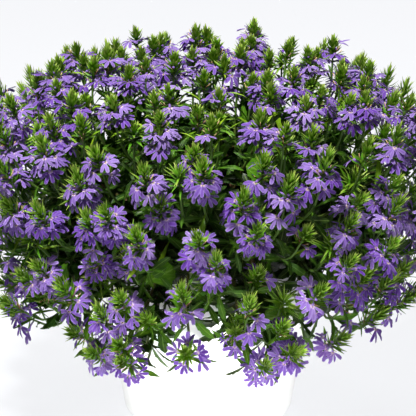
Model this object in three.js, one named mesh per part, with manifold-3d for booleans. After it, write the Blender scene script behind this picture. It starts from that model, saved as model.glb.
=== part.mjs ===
// Potted fan flower, a mounding and trailing bedding perennial in a round pot.
//
// A tapered pot holds a plug of soil. Branching stems stand in plain holes in the soil, arch over
// the rim and end in upright shoots. Each shoot carries toothed leaves, a collar of fan-shaped
// flowers and, above the collar, a tuft of green bracts. Three neighbouring collars touch at their
// petal tips and are one solid.
//
// Units are millimetres, Z is up, and the origin is the middle of the pot's underside.
import * as THREE from "three";
import { mergeVertices } from "three/addons/utils/BufferGeometryUtils.js";
import Module from "manifold-3d";

const wasm = await Module();
wasm.setup();

// Pot and soil
const POT_HEIGHT = 205;
const POT_RIM_RADIUS = 127;
const POT_FOOT_RADIUS = 90;
const POT_WALL = 3.5;
const POT_FLOOR = 4;
const POT_SIDES = 24;
const RIM_BAND_HEIGHT = 26;
const RIM_BAND_STEP = 3.5;
const DRAIN_HOLES = 5;
const DRAIN_HOLE_RADIUS = 6;
const DRAIN_CIRCLE_RADIUS = 55;
const DRAIN_SIDES = 6;
const SOIL_EDGE_HEIGHT = 186;
const SOIL_CROWN = 6;
const CLEARANCE = 0.4;

// Mound of foliage, measured at the flower collars
const MOUND_RADIUS = 238;
const MOUND_MIDDLE = 245;
const MOUND_RISE = 128;
const MOUND_DROP = 160;
const MOUND_SQUARENESS = 3;
const MOUND_LOWEST_ANGLE = 128;
const ROWS = 7;
const FIRST_ROW = 36;
const ROW_SPACING = 66;
const COLLAR_SPACING = 76;
const COLLARS_PER_CLUSTER = 3;
const CLUSTER_DRAW = 0.78;
const ROW_STAGGER = 1.4;
const AZIMUTH_SCATTER = 0.08;
const ROW_SCATTER = 14;
const DEPTH_SCATTER = 14;
const SERIALS_PER_ROW = 31;

// Stems
const STEM_COUNT = 12;
const STEM_FOOT_DEPTH = 24;
const STEM_FOOT_RADIUS = 3.4;
const STEM_END_RADIUS = 2;
const CORE_SIDES = 6;
const CORE_LUMPS = 0.3;
const SHOOT_RADIUS = 1.8;
const FIRST_BRANCH = 0.34;
const BRANCH_SWEEP = 0.6;
const LAST_BRANCH = 0.97;
const SHOOT_LEAN = 0.42;
const LEAN_SCATTER = 0.3;
const SHOOT_SWING = 0.36;
const SHOOT_SIDES = 3;
const TRUNK_SIDES = 4;
const SHOOT_LINKS = [1, 1, 1, 1, 1, 2, 2];
const NODE_DEPTH = 22;
const NODE_LENGTH = 6;

// Flower collars, bract tufts and leaves
const FANS = 4;
const PETALS_PER_FAN = 2;
const PETAL_REACH = 27;
const PETAL_DROOP = 12;
const FAN_GAP_RADIUS = 9;
const PETAL_GAP_RADIUS = 17;
const COLLAR_THICKNESS = 2;
const PETAL_OVERLAP = 7.5;
const BRIDGE_DROOP = 0.6;
const TUFT_HEIGHT = 27;
const TUFT_RADIUS = 7.5;
const BRACTS = 3;
const BRACT_TIPS_AT = 0.68;
const BRACT_NOTCHES_AT = 0.42;
const BRACT_NOTCH_DEPTH = 0.45;
const LEAF_LENGTH = 38;
const LEAF_HALF_WIDTH = 7.5;
const LEAF_KEEL = 1.3;
const LEAF_CURL = 0.3;
const LEAF_FOLD = 0.3;
const SECOND_LEAF = 0.88;
const SMALLEST_FEATURE = 0.08;

// Even, repeatable scatter between -0.5 and 0.5 from a whole number.
const SCATTER_A = 0.7548777;
const SCATTER_B = 0.5698403;
const SCATTER_C = 0.6180340;
const scatter = (index, step) => ((index * step) % 1) - 0.5;

const UP = new THREE.Vector3(0, 0, 1);
const outward = (azimuth) => new THREE.Vector3(Math.cos(azimuth), Math.sin(azimuth), 0);
const sideways = (azimuth) => new THREE.Vector3(-Math.sin(azimuth), Math.cos(azimuth), 0);

// a + b * amount, as a new vector.
const step = (a, b, amount) => a.clone().addScaledVector(b, amount);

// A point by distance from the pot's axis and height, at an azimuth.
const polar = (azimuth, radius, height) => outward(azimuth).multiplyScalar(radius).setZ(height);

// The point and direction at a share, below 1, of the way along a chain of points.
function alongChain(chain, share) {
  const place = share * (chain.length - 1);
  const first = Math.floor(place);
  const link = chain[first + 1].clone().sub(chain[first]);
  return { point: step(chain[first], link, place - first), direction: link.normalize() };
}

// Triangles of a skin through rings of points, each a list of three corners. Rings may differ in
// count. A ring of one point closes an end, and looped joins the last ring to the first.
function loft(rings, looped = false) {
  const triangles = [];
  for (let k = 0; k < rings.length - (looped ? 0 : 1); k++) {
    const [from, to] = [rings[k], rings[(k + 1) % rings.length]];
    const a = (i) => from[i % from.length];
    const b = (j) => to[j % to.length];
    for (let i = 0, j = 0; i < from.length || j < to.length; ) {
      const firstIsNearer = (i + 0.5) / from.length <= (j + 0.5) / to.length;
      const onFirst = j >= to.length || (i < from.length && firstIsNearer);
      if (onFirst && from.length > 1) triangles.push([a(i), a(i + 1), b(j)]);
      if (!onFirst && to.length > 1) triangles.push([a(i), b(j + 1), b(j)]);
      if (onFirst) i++;
      else j++;
    }
  }
  return triangles;
}

// A regular ring of points round a centre, in the plane of two directions.
function ringOf(count, centre, across, along, radius) {
  return Array.from({ length: count }, (_, i) => {
    const angle = (2 * Math.PI * i) / count;
    return step(step(centre, across, radius * Math.cos(angle)), along, radius * Math.sin(angle));
  });
}

// Solids for the boolean library, from a geometry or from a list of triangles.
function solidOf(shape) {
  const geometry = Array.isArray(shape)
    ? new THREE.BufferGeometry().setFromPoints(shape.flat())
    : shape.clone().deleteAttribute("normal").deleteAttribute("uv");
  const merged = mergeVertices(geometry, 1e-4);
  return new wasm.Manifold(
    new wasm.Mesh({
      numProp: 3,
      vertProperties: new Float32Array(merged.attributes.position.array),
      triVerts: new Uint32Array(merged.index.array),
    }),
  );
}

const union = (shapes) =>
  shapes.map(solidOf).reduce((all, one) => all.add(one)).simplify(SMALLEST_FEATURE);

function meshOf(name, solid, material) {
  const { numProp, vertProperties, triVerts } = solid.getMesh();
  const geometry = new THREE.BufferGeometry();
  geometry.setAttribute("position", new THREE.BufferAttribute(vertProperties, numProp));
  geometry.setIndex(new THREE.BufferAttribute(triVerts, 1));
  const mesh = new THREE.Mesh(geometry, material);
  mesh.name = name;
  return mesh;
}

const finish = (color, roughness) =>
  new THREE.MeshStandardMaterial({ color, roughness, metalness: 0, flatShading: true });
const potMaterial = finish("#f2f2f0", 0.45);
const soilMaterial = finish("#3a2a1e", 0.95);
const foliageMaterial = finish("#4d7a24", 0.55);
const petalMaterial = finish("#8261c4", 0.6);

// Pot: a turned shell with a stepped rim band and round drain holes in its floor.
const potRadiusAt = (height) =>
  POT_FOOT_RADIUS + ((POT_RIM_RADIUS - RIM_BAND_STEP - POT_FOOT_RADIUS) * height) / POT_HEIGHT;

function turned(profile) {
  const points = profile.map(([radius, height]) => new THREE.Vector2(radius, height));
  return new THREE.LatheGeometry(points, POT_SIDES).rotateX(Math.PI / 2);
}

function pot() {
  const bandFoot = POT_HEIGHT - RIM_BAND_HEIGHT;
  const shell = solidOf(
    turned([
      [0, 0],
      [POT_FOOT_RADIUS, 0],
      [potRadiusAt(bandFoot), bandFoot],
      [POT_RIM_RADIUS, bandFoot + RIM_BAND_STEP],
      [POT_RIM_RADIUS, POT_HEIGHT],
      [potRadiusAt(POT_HEIGHT) - POT_WALL, POT_HEIGHT],
      [potRadiusAt(POT_FLOOR) - POT_WALL, POT_FLOOR],
      [0, POT_FLOOR],
    ]),
  );
  const drill = new THREE.CylinderGeometry(
    DRAIN_HOLE_RADIUS,
    DRAIN_HOLE_RADIUS,
    4 * POT_FLOOR,
    DRAIN_SIDES,
  ).rotateX(Math.PI / 2);
  const holes = Array.from({ length: DRAIN_HOLES }, (_, i) => {
    const place = outward((2 * Math.PI * i) / DRAIN_HOLES).multiplyScalar(DRAIN_CIRCLE_RADIUS);
    return solidOf(drill.clone().translate(place.x, place.y, 0));
  });
  return holes.reduce((body, hole) => body.subtract(hole), shell);
}

// Soil: fills the pot to below its rim, slightly crowned, with a plain hole for each stem's foot.
function soil() {
  const bottom = POT_FLOOR + CLEARANCE;
  const innerRadius = (height) => potRadiusAt(height) - POT_WALL - CLEARANCE;
  const plug = solidOf(
    turned([
      [0, bottom],
      [innerRadius(bottom), bottom],
      [innerRadius(SOIL_EDGE_HEIGHT), SOIL_EDGE_HEIGHT],
      [0, SOIL_EDGE_HEIGHT + SOIL_CROWN],
    ]),
  );
  const reach = STEM_FOOT_RADIUS + 2 * CLEARANCE;
  return stems.reduce((body, stem) => {
    const foot = stem.points[0];
    const side = sideways(stem.azimuth);
    const back = outward(stem.azimuth).negate();
    const hole = loft([
      [step(foot, UP, -CLEARANCE)],
      ringOf(TRUNK_SIDES, step(foot, UP, -CLEARANCE), side, back, reach),
      ringOf(TRUNK_SIDES, step(foot, UP, 2 * STEM_FOOT_DEPTH), side, back, reach),
      [step(foot, UP, 2 * STEM_FOOT_DEPTH)],
    ]);
    return body.subtract(solidOf(hole));
  }, plug);
}

// Outline of the mound from its top down over its side: a rounded square, as radius and height.
class MoundProfile extends THREE.Curve {
  getPoint(t, target = new THREE.Vector2()) {
    const angle = THREE.MathUtils.degToRad(t * MOUND_LOWEST_ANGLE);
    const power = 2 / MOUND_SQUARENESS;
    const height = Math.sign(Math.cos(angle)) * Math.abs(Math.cos(angle)) ** power;
    return target.set(
      MOUND_RADIUS * Math.abs(Math.sin(angle)) ** power,
      MOUND_MIDDLE + height * (height > 0 ? MOUND_RISE : MOUND_DROP),
    );
  }
}

// Collars stand in rows round the mound, in clusters of three that are drawn together. Each has a
// centre, an axis that leans outward less than the mound's surface does, and two directions across.
function collarRows() {
  const profile = new MoundProfile();
  const length = profile.getLength();
  return Array.from({ length: ROWS }, (_, row) => {
    const from = (FIRST_ROW + row * ROW_SPACING) / length;
    const girth = 2 * Math.PI * profile.getPointAt(from).x;
    const clusters = Math.round(girth / COLLAR_SPACING / COLLARS_PER_CLUSTER);
    const count = COLLARS_PER_CLUSTER * clusters;
    return Array.from({ length: count }, (_, i) => {
      const serial = SERIALS_PER_ROW * row + i + 1;
      const place = i % COLLARS_PER_CLUSTER;
      const drawn =
        (1 - place) * (1 - CLUSTER_DRAW) + AZIMUTH_SCATTER * scatter(serial, SCATTER_A);
      const azimuth = (2 * Math.PI * (i + ROW_STAGGER * row + drawn)) / count;
      const share = Math.min(1, from + (ROW_SCATTER * scatter(serial, SCATTER_C)) / length);
      return collarAt(serial, row, azimuth, profile.getPointAt(share), profile.getTangentAt(share));
    });
  });
}

function collarAt(serial, row, azimuth, place, tangent) {
  const push = DEPTH_SCATTER * scatter(serial, SCATTER_B);
  const slope = Math.atan2(-tangent.y, tangent.x);
  const lean = SHOOT_LEAN * slope + LEAN_SCATTER * scatter(serial, SCATTER_A);
  const centre = polar(azimuth, place.x - tangent.y * push, place.y + tangent.x * push);
  const axis = step(outward(azimuth).multiplyScalar(Math.sin(lean)), UP, Math.cos(lean));
  const across = sideways(azimuth);
  return { row, serial, azimuth, centre, axis, across, along: axis.clone().cross(across) };
}

// A collar of flowers: a drooping ring with a hole for the shoot, its edge cut deeply between fans
// and less deeply between the petals of a fan. The petals are turned to point along the row at the
// neighbours in the cluster. The ones that do reach just past the middle between the two collars,
// so that these hold together.
function collarGeometry(collar, neighbours) {
  const { centre, axis, across, along } = collar;
  const bearing = (point) => {
    const toward = step(point, centre, -1);
    return Math.atan2(toward.dot(along), toward.dot(across));
  };
  const petals = FANS * PETALS_PER_FAN;
  const turn = Math.atan(Math.tan(bearing(neighbours[0].centre)));
  const edge = Array.from({ length: 2 * petals }, (_, i) => {
    const angle = turn + (Math.PI * i) / petals;
    const betweenFans = (i + 2 * collar.serial) % (2 * PETALS_PER_FAN) === 1;
    const gap = betweenFans ? FAN_GAP_RADIUS : PETAL_GAP_RADIUS;
    const radius = i % 2 === 0 ? PETAL_REACH : gap;
    const level = step(centre, axis, -PETAL_DROOP * (radius / PETAL_REACH) ** 2);
    level.addScaledVector(across, radius * Math.cos(angle));
    return level.addScaledVector(along, radius * Math.sin(angle));
  });
  for (const other of neighbours) {
    const turns = (bearing(other.centre) - turn) / (2 * Math.PI);
    const petal = THREE.MathUtils.euclideanModulo(2 * Math.round(turns * petals), 2 * petals);
    const middle = step(centre, step(other.centre, centre, -1), 0.5);
    middle.addScaledVector(UP, -BRIDGE_DROOP * PETAL_DROOP);
    edge[petal] = step(middle, step(middle, centre, -1).normalize(), PETAL_OVERLAP);
  }
  const hole = (height) =>
    ringOf(SHOOT_SIDES, step(centre, axis, height), across, along, SHOOT_RADIUS + 2 * CLEARANCE);
  return loft([hole(-COLLAR_THICKNESS), edge, hole(COLLAR_THICKNESS)], true);
}

// Bract tuft: a slim green cone whose lower bracts stand out in a ring of points.
function tuftRings({ centre, axis, across, along }) {
  const crown = Array.from({ length: 2 * BRACTS }, (_, i) => {
    const bract = i % 2 === 0;
    const angle = (Math.PI * i) / BRACTS;
    const radius = TUFT_RADIUS * (bract ? 1 : BRACT_NOTCH_DEPTH);
    const place = step(centre, axis, TUFT_HEIGHT * (bract ? BRACT_TIPS_AT : BRACT_NOTCHES_AT));
    place.addScaledVector(across, radius * Math.cos(angle));
    return place.addScaledVector(along, radius * Math.sin(angle));
  });
  return [crown, [step(centre, axis, TUFT_HEIGHT)]];
}

// Leaf: a blade folded up along its midrib, thick at the midrib, with a pair of teeth. It grows out
// of a face of the shoot, whose three corners are its first ring.
const LEAF_STATIONS = [
  [0.42, 1],
  [0.56, 0.6],
  [0.7, 0.8],
];

// The way a leaf leaves a face: level with it, square to the shoot.
function leafDirection(face, axis) {
  const normal = step(face[1], face[0], -1).cross(step(face[2], face[0], -1));
  return normal.addScaledVector(axis, -normal.dot(axis)).normalize();
}

function leafOn(face, axis, length) {
  const root = step(face[0], face[1], 1).add(face[2]).divideScalar(3);
  const direction = leafDirection(face, axis);
  const across = axis.clone().cross(direction);
  const at = (s) => step(step(root, direction, s * length), axis, -LEAF_CURL * length * s * s);
  const rings = LEAF_STATIONS.map(([s, width]) => {
    const half = width * LEAF_HALF_WIDTH;
    const edge = step(at(s), axis, LEAF_FOLD * half);
    return [step(at(s), axis, -LEAF_KEEL), step(edge, across, half), step(edge, across, -half)];
  });
  const lowest = face.reduce((a, b) => (a.dot(axis) < b.dot(axis) ? a : b));
  const base = [0, 1, 2].map((i) => face[(face.indexOf(lowest) + i) % 3]);
  return loft([base, ...rings, [at(1)]]);
}

// Faces of a shoot's node in the order in which leaves take them: the freest side first, judged by
// how far a leaf's tip stays from the nearest other collar, then the free side most opposite to it.
function leafFaces(collar, joint) {
  const others = collars.filter((other) => other !== collar);
  const sides = joint.map((face) => {
    const direction = leafDirection(face, collar.axis);
    const tip = step(step(face[0], direction, LEAF_LENGTH), collar.axis, -LEAF_CURL * LEAF_LENGTH);
    const room = Math.min(...others.map((other) => tip.distanceTo(other.centre)));
    return { face, direction, room };
  });
  const [first] = sides.toSorted((a, b) => b.room - a.room);
  const rest = sides.filter((side) => side.direction.dot(first.direction) < 0);
  const [second] = rest.toSorted((a, b) => b.room - a.room);
  return collar.serial % 3 === 0 ? [first.face, second.face] : [first.face];
}

// A shoot: a bent three-sided stem from its branch point, with a leafy node under its collar, that
// runs on through the collar and ends in the tuft.
function shootGeometry(collar, start, startDirection) {
  const { centre, axis } = collar;
  const node = step(centre, axis, -NODE_DEPTH);
  const span = node.distanceTo(start);
  const path = new THREE.CubicBezierCurve3(
    start,
    step(start, startDirection, SHOOT_SWING * span),
    step(node, axis, -SHOOT_SWING * span),
    node,
  );
  const section = (point, direction) => {
    const across = step(collar.across, direction, -collar.across.dot(direction)).normalize();
    return ringOf(SHOOT_SIDES, point, across, direction.clone().cross(across), SHOOT_RADIUS);
  };
  const links = SHOOT_LINKS[collar.row];
  const bends = path.getPoints(links).map((point, i) => section(point, path.getTangent(i / links)));
  const top = section(step(node, axis, NODE_LENGTH), axis);
  const neck = section(step(centre, axis, 3 * COLLAR_THICKNESS), axis);
  const joint = loft([bends.at(-1), top]);
  const faces = leafFaces(collar, joint);
  const leaves = faces.map((face, i) => leafOn(face, axis, LEAF_LENGTH * SECOND_LEAF ** i));
  return [
    ...loft([[start], ...bends]),
    ...joint.filter((face) => !faces.includes(face)),
    ...leaves.flat(),
    ...loft([top, neck, ...tuftRings(collar)]),
  ];
}

// Stems: each stands in the soil at its own azimuth, arches toward the rim and branches into the
// shoots of its sector. High shoots leave it low down, trailing ones at its end. A bend gives its
// distance from the pot's axis and its height.
const STEM_BENDS = [
  [45, SOIL_EDGE_HEIGHT - STEM_FOOT_DEPTH],
  [45, SOIL_EDGE_HEIGHT + 12],
  [64, 236],
  [96, 258],
  [130, 262],
];
const stems = Array.from({ length: STEM_COUNT }, (_, i) => {
  const azimuth = (2 * Math.PI * (i + 0.5)) / STEM_COUNT;
  const points = STEM_BENDS.map(([distance, height]) => polar(azimuth, distance, height));
  return { azimuth, points, collars: [] };
});

const rows = collarRows();
const collars = rows.flat();
const sector = (2 * Math.PI) / STEM_COUNT;
for (const collar of collars) {
  const turn = THREE.MathUtils.euclideanModulo(collar.azimuth, 2 * Math.PI);
  stems[Math.floor(turn / sector) % STEM_COUNT].collars.push(collar);
}

// Core: the crowded twigs and inner leaves round a stem, as one lumpy mass that the shoots and
// outer leaves stand out of. It arches over the rim. A station gives its distance from the pot's
// axis, its height, and half its depth and width.
const CORE_STATIONS = [
  [52, 250, 0, 0],
  [96, 270, 32, 13],
  [142, 266, 36, 22],
  [170, 222, 22, 27],
  [172, 172, 15, 22],
  [170, 138, 0, 0],
];

function coreGeometry(azimuth) {
  const centres = CORE_STATIONS.map(([distance, height]) => polar(azimuth, distance, height));
  const path = new THREE.CatmullRomCurve3(centres);
  const rings = CORE_STATIONS.map(([, , depth, width], i) => {
    if (width === 0) return [centres[i]];
    const direction = path.getTangent(i / (CORE_STATIONS.length - 1));
    const across = sideways(azimuth);
    const along = direction.clone().cross(across).multiplyScalar(depth);
    const ring = ringOf(CORE_SIDES, centres[i], across.multiplyScalar(width), along, 1);
    return ring.map((point, k) => (k % 2 === i % 2 ? point : point.lerp(centres[i], CORE_LUMPS)));
  });
  return loft(rings);
}

function stemGeometries(stem) {
  const trunkRings = stem.points.map((point, i) => {
    const share = i / (stem.points.length - 1);
    const from = stem.points[Math.max(0, i - 1)];
    const direction = step(stem.points[Math.max(1, i)], from, -1).normalize();
    const radius = THREE.MathUtils.lerp(STEM_FOOT_RADIUS, STEM_END_RADIUS, share);
    const across = sideways(stem.azimuth);
    return ringOf(TRUNK_SIDES, point, across, direction.clone().cross(across), radius);
  });
  const trunk = loft([[stem.points[0]], ...trunkRings, [stem.points.at(-1)]]);
  const shoots = stem.collars.map((collar, i) => {
    const rank = i / (stem.collars.length - 1);
    const share = THREE.MathUtils.lerp(FIRST_BRANCH, LAST_BRANCH, rank);
    const { point: start, direction } = alongChain(stem.points, share);
    const away = step(collar.centre, start, -1);
    away.addScaledVector(direction, -away.dot(direction)).normalize();
    return shootGeometry(collar, start, away.addScaledVector(direction, BRANCH_SWEEP).normalize());
  });
  return [trunk, coreGeometry(stem.azimuth), ...shoots];
}

// The object
const plant = new THREE.Group();
plant.add(meshOf("pot", pot(), potMaterial));
plant.add(meshOf("soil", soil(), soilMaterial));

const label = (number) => String(number).padStart(2, "0");
stems.forEach((stem, i) => {
  plant.add(meshOf(`leafy_stem_${label(i + 1)}`, union(stemGeometries(stem)), foliageMaterial));
});

let cluster = 0;
for (const row of rows) {
  for (let i = 0; i < row.length; i += COLLARS_PER_CLUSTER) {
    const members = row.slice(i, i + COLLARS_PER_CLUSTER);
    const heads = members.map((collar, k) =>
      collarGeometry(collar, [members[k - 1], members[k + 1]].filter(Boolean)),
    );
    cluster += 1;
    plant.add(meshOf(`flower_heads_${label(cluster)}`, union(heads), petalMaterial));
  }
}

export default plant;
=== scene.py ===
"""Potted fan flower: surfaces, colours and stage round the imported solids.

Lengths are metres, Z is up, and the origin is the middle of the pot's underside.
"""

import math
from functools import partial

import bpy
import numpy as np
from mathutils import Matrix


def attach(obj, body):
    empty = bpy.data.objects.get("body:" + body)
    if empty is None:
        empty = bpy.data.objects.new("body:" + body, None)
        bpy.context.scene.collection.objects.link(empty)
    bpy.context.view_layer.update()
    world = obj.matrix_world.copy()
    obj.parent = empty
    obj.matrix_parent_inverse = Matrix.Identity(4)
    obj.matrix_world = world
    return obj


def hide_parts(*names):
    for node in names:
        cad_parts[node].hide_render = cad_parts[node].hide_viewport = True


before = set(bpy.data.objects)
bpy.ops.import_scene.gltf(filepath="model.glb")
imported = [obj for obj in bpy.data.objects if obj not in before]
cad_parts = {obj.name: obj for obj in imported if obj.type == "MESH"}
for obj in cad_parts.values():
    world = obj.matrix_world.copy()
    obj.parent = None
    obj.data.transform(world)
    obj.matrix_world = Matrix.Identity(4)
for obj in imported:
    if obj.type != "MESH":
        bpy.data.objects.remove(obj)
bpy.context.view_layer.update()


# Pot
# One shell of white polypropylene, injection moulded: a tapered wall, a stepped band under the rim
# and a flat floor with drainage holes. Its profile is turned round Z.
POT_HEIGHT = 0.205
POT_RIM_RADIUS = 0.127
POT_FOOT_RADIUS = 0.090
POT_WALL = 0.0035
POT_FLOOR = 0.004
RIM_BAND_HEIGHT = 0.026
RIM_BAND_STEP = 0.0035
EDGE_ROUNDING = 0.0012
POT_SIDES = 120
DRAIN_HOLES = 5
DRAIN_HOLE_RADIUS = 0.006
DRAIN_HOLE_SIDES = 32
DRAIN_CIRCLE_RADIUS = 0.055
MOULD_GRAIN = 0.0018
POT_CLOUDS_PER_METRE = 30.0


def linear(colour):
    """Linear RGBA of an sRGB hex colour."""
    channels = np.array([int(colour[i : i + 2], 16) for i in (1, 3, 5)]) / 255
    straight = np.where(channels <= 0.04045, channels / 12.92, ((channels + 0.055) / 1.055) ** 2.4)
    return (*straight.tolist(), 1.0)


def add_node(tree, kind, inputs=None, stops=(), **settings):
    """Adds a shader node to a tree. inputs gives a socket a value, a hex colour, the socket that
    feeds it, or a node for that node's first output in use. stops are a colour ramp's (place,
    colour) pairs, and settings are the node's properties."""
    node = tree.nodes.new("ShaderNode" + kind)
    for name, value in settings.items():
        setattr(node, name, value)
    for socket, value in (inputs or {}).items():
        if isinstance(value, bpy.types.Node):
            value = next(output for output in value.outputs if output.enabled)
        if isinstance(value, bpy.types.NodeSocket):
            tree.links.new(value, node.inputs[socket])
        else:
            node.inputs[socket].default_value = linear(value) if isinstance(value, str) else value
    for k, (place, colour) in enumerate(stops):
        elements = node.color_ramp.elements
        stop = elements[k] if k < len(elements) else elements.new(place)
        stop.position = place
        stop.color = linear(colour)
    return node


def new_material(name):
    """An empty node material, and add_node for its tree."""
    material = bpy.data.materials.new(name)
    material.use_nodes = True
    material.node_tree.nodes.clear()
    return material, partial(add_node, material.node_tree)


def new_object(name, points, face_sets):
    """An object with a mesh of points and of faces, given as arrays of corner numbers."""
    mesh = bpy.data.meshes.new(name)
    mesh.from_pydata(points.tolist(), [], [face for corners in face_sets for face in corners.tolist()])
    made = bpy.data.objects.new(name, mesh)
    bpy.context.scene.collection.objects.link(made)
    return made


def new_piece(name, points, face_sets, material, replaced):
    """A smooth-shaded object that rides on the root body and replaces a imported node."""
    piece = new_object(name, points, face_sets)
    piece.data.polygons.foreach_set("use_smooth", np.ones(len(piece.data.polygons), bool))
    piece.data.materials.append(material)
    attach(piece, "root")
    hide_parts(replaced)
    return piece


def outward(azimuth):
    """Level unit vectors at azimuths."""
    return np.stack([np.cos(azimuth), np.sin(azimuth), 0 * azimuth], axis=-1)


def rounded(corners, radius, steps=4):
    """A profile whose inner corners are rounded: each gives way to a quadratic curve that starts and
    ends radius away from it on its two edges, or a third of a short edge."""
    corners = np.array(corners, float)
    middle = corners[1:-1]
    edges = [corners[:-2] - middle, corners[2:] - middle]
    lengths = [np.linalg.norm(edge, axis=1)[:, None] for edge in edges]
    start, end = [middle + np.minimum(radius, size / 3) * edge / size for edge, size in zip(edges, lengths)]
    t = np.linspace(0, 1, steps)[None, :, None]
    curve = (1 - t) ** 2 * start[:, None] + 2 * t * (1 - t) * middle[:, None] + t**2 * end[:, None]
    return np.concatenate([corners[:1], curve.reshape(-1, 2), corners[-1:]])


def ring_faces(rings, sides):
    """Faces of a skin over rings of points, which are followed by a pole for each end: quads between
    the rings, and a triangle from each side of an end ring to its pole."""
    k = np.arange(sides)
    following = (k + 1) % sides
    row = sides * np.arange(rings - 1)[:, None]
    walls = np.stack([row + k, row + following, row + sides + following, row + sides + k], axis=-1)
    last = sides * (rings - 1)
    low = np.stack([following, k, np.full(sides, sides * rings)], axis=-1)
    high = np.stack([last + k, last + following, np.full(sides, sides * rings + 1)], axis=-1)
    return [walls.reshape(-1, 4), low, high]


def repeated(face_sets, size, count, start=0):
    """Face sets of copies of a shape of size points, whose points follow each other from a start."""
    starts = start + size * np.arange(count)[:, None, None]
    return [(corners + starts).reshape(-1, corners.shape[-1]) for corners in face_sets]


def turned(profile, sides):
    """Points and faces of a closed profile from pole to pole turned round Z: each ring is the
    profile's radius times the cosine and sine of even angles."""
    profile = np.array(profile, float)
    directions = outward(np.linspace(0, 2 * math.pi, sides, endpoint=False))
    rings = profile[1:-1, None, :1] * directions
    rings[..., 2] = profile[1:-1, 1:]
    poles = [(0, 0, profile[0, 1]), (0, 0, profile[-1, 1])]
    return np.concatenate([rings.reshape(-1, 3), poles]), ring_faces(len(rings), sides)


def pot_radius(height):
    """Outer radius of the pot's straight taper at a height."""
    return POT_FOOT_RADIUS + (POT_RIM_RADIUS - RIM_BAND_STEP - POT_FOOT_RADIUS) * height / POT_HEIGHT


def pot_material():
    """Polypropylene, injection moulded: white, with a satin skin that carries a fine orange peel
    from the mould and is a little duller in cloudy patches."""
    material, add = new_material("moulded white polypropylene")
    place = add("TexCoord").outputs["Object"]
    peel = add("TexNoise", {"Vector": place, "Scale": 1 / MOULD_GRAIN})
    cloud = add("TexNoise", {"Vector": place, "Scale": POT_CLOUDS_PER_METRE, "Detail": 3.0})
    colour = add("ValToRGB", {"Fac": cloud}, [(0.3, "#f3f3f0"), (0.7, "#fafaf8")])
    gloss = add("MapRange", {"Value": cloud, "To Min": 0.38, "To Max": 0.52})
    bump = add("Bump", {"Height": peel, "Strength": 0.12, "Distance": 0.0003})
    skin = add("BsdfPrincipled", {"Base Color": colour, "Roughness": gloss, "Normal": bump, "IOR": 1.49})
    add("OutputMaterial", {"Surface": skin})
    return material


band_foot = POT_HEIGHT - RIM_BAND_HEIGHT
pot_corners = [
    (0, 0),
    (POT_FOOT_RADIUS, 0),
    (pot_radius(band_foot), band_foot),
    (POT_RIM_RADIUS, band_foot + RIM_BAND_STEP),
    (POT_RIM_RADIUS, POT_HEIGHT),
    (pot_radius(POT_HEIGHT) - POT_WALL, POT_HEIGHT),
    (pot_radius(POT_FLOOR) - POT_WALL, POT_FLOOR),
    (0, POT_FLOOR),
]
pot_points, pot_faces = turned(rounded(pot_corners, EDGE_ROUNDING), POT_SIDES)
pot = new_piece("pot_shell", pot_points, pot_faces, pot_material(), "pot")

low, high = -POT_FLOOR, 2 * POT_FLOOR
drill_profile = [(0, low), (DRAIN_HOLE_RADIUS, low), (DRAIN_HOLE_RADIUS, high), (0, high)]
drill_points, drill_faces = turned(drill_profile, DRAIN_HOLE_SIDES)
drill_places = DRAIN_CIRCLE_RADIUS * outward(np.linspace(0, 2 * math.pi, DRAIN_HOLES, endpoint=False))
drill_points = drill_points + drill_places[:, None]
drill_faces = repeated(drill_faces, drill_points.shape[1], DRAIN_HOLES)
drill = new_object("drain_holes", drill_points.reshape(-1, 3), drill_faces)
cut = pot.modifiers.new("drain holes", "BOOLEAN")
cut.operation = "DIFFERENCE"
cut.object = drill
drilled = bpy.data.meshes.new_from_object(pot.evaluated_get(bpy.context.evaluated_depsgraph_get()))
pot.modifiers.clear()
pot.data = drilled
bpy.data.objects.remove(drill)


# Soil
# The root ball in peat and composted bark. It is crowned a little, its top is crumbly, and loose
# bark chips lie on it. The crumb is a sum of waves in several directions, from 5 to 40 mm long.
SOIL_EDGE_HEIGHT = 0.186
SOIL_CROWN = 0.006
CLEARANCE = 0.0004
SOIL_RINGS = 60
SOIL_SIDES = 140
CRUMB_HEIGHT = 0.00055
CRUMB_WAVES = 18
SHORTEST_WAVE = 0.005
WAVE_GROWTH = 1.13
WAVE_TURN = 2.4
CHIPS = 700
CHIP_SEED = 11
CHIP_SIZE = 0.0035
CHIP_SHARES = (0.25, 1.0)
SOIL_LUMPS_PER_METRE = 260.0


def soil_radius(height):
    """Radius of the soil at a height, just clear of the pot's wall."""
    return pot_radius(height) - POT_WALL - CLEARANCE


def soil_height(x, y):
    """Crowned height of the soil's top plus sine waves, each longer than the last and turned."""
    height = SOIL_EDGE_HEIGHT + SOIL_CROWN * (1 - np.hypot(x, y) / soil_radius(SOIL_EDGE_HEIGHT))
    for k in range(CRUMB_WAVES):
        turn = WAVE_TURN * k
        wave_number = 2 * math.pi / (SHORTEST_WAVE * WAVE_GROWTH**k)
        height = height + CRUMB_HEIGHT * np.sin(wave_number * (x * math.cos(turn) + y * math.sin(turn)) + k)
    return height


def soil_material():
    """Peat and composted bark: matt, near black where it is wet and brown where it is fibrous."""
    material, add = new_material("moist peat and bark")
    place = add("TexCoord").outputs["Object"]
    lumps = add("TexNoise", {"Vector": place, "Scale": SOIL_LUMPS_PER_METRE, "Detail": 6.0})
    colour = add("ValToRGB", {"Fac": lumps}, [(0.3, "#17110c"), (0.55, "#35261b"), (0.8, "#5d4733")])
    bump = add("Bump", {"Height": lumps, "Strength": 0.8, "Distance": 0.001})
    skin = add("BsdfPrincipled", {"Base Color": colour, "Roughness": 0.95, "Normal": bump})
    add("OutputMaterial", {"Surface": skin})
    return material


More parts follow.
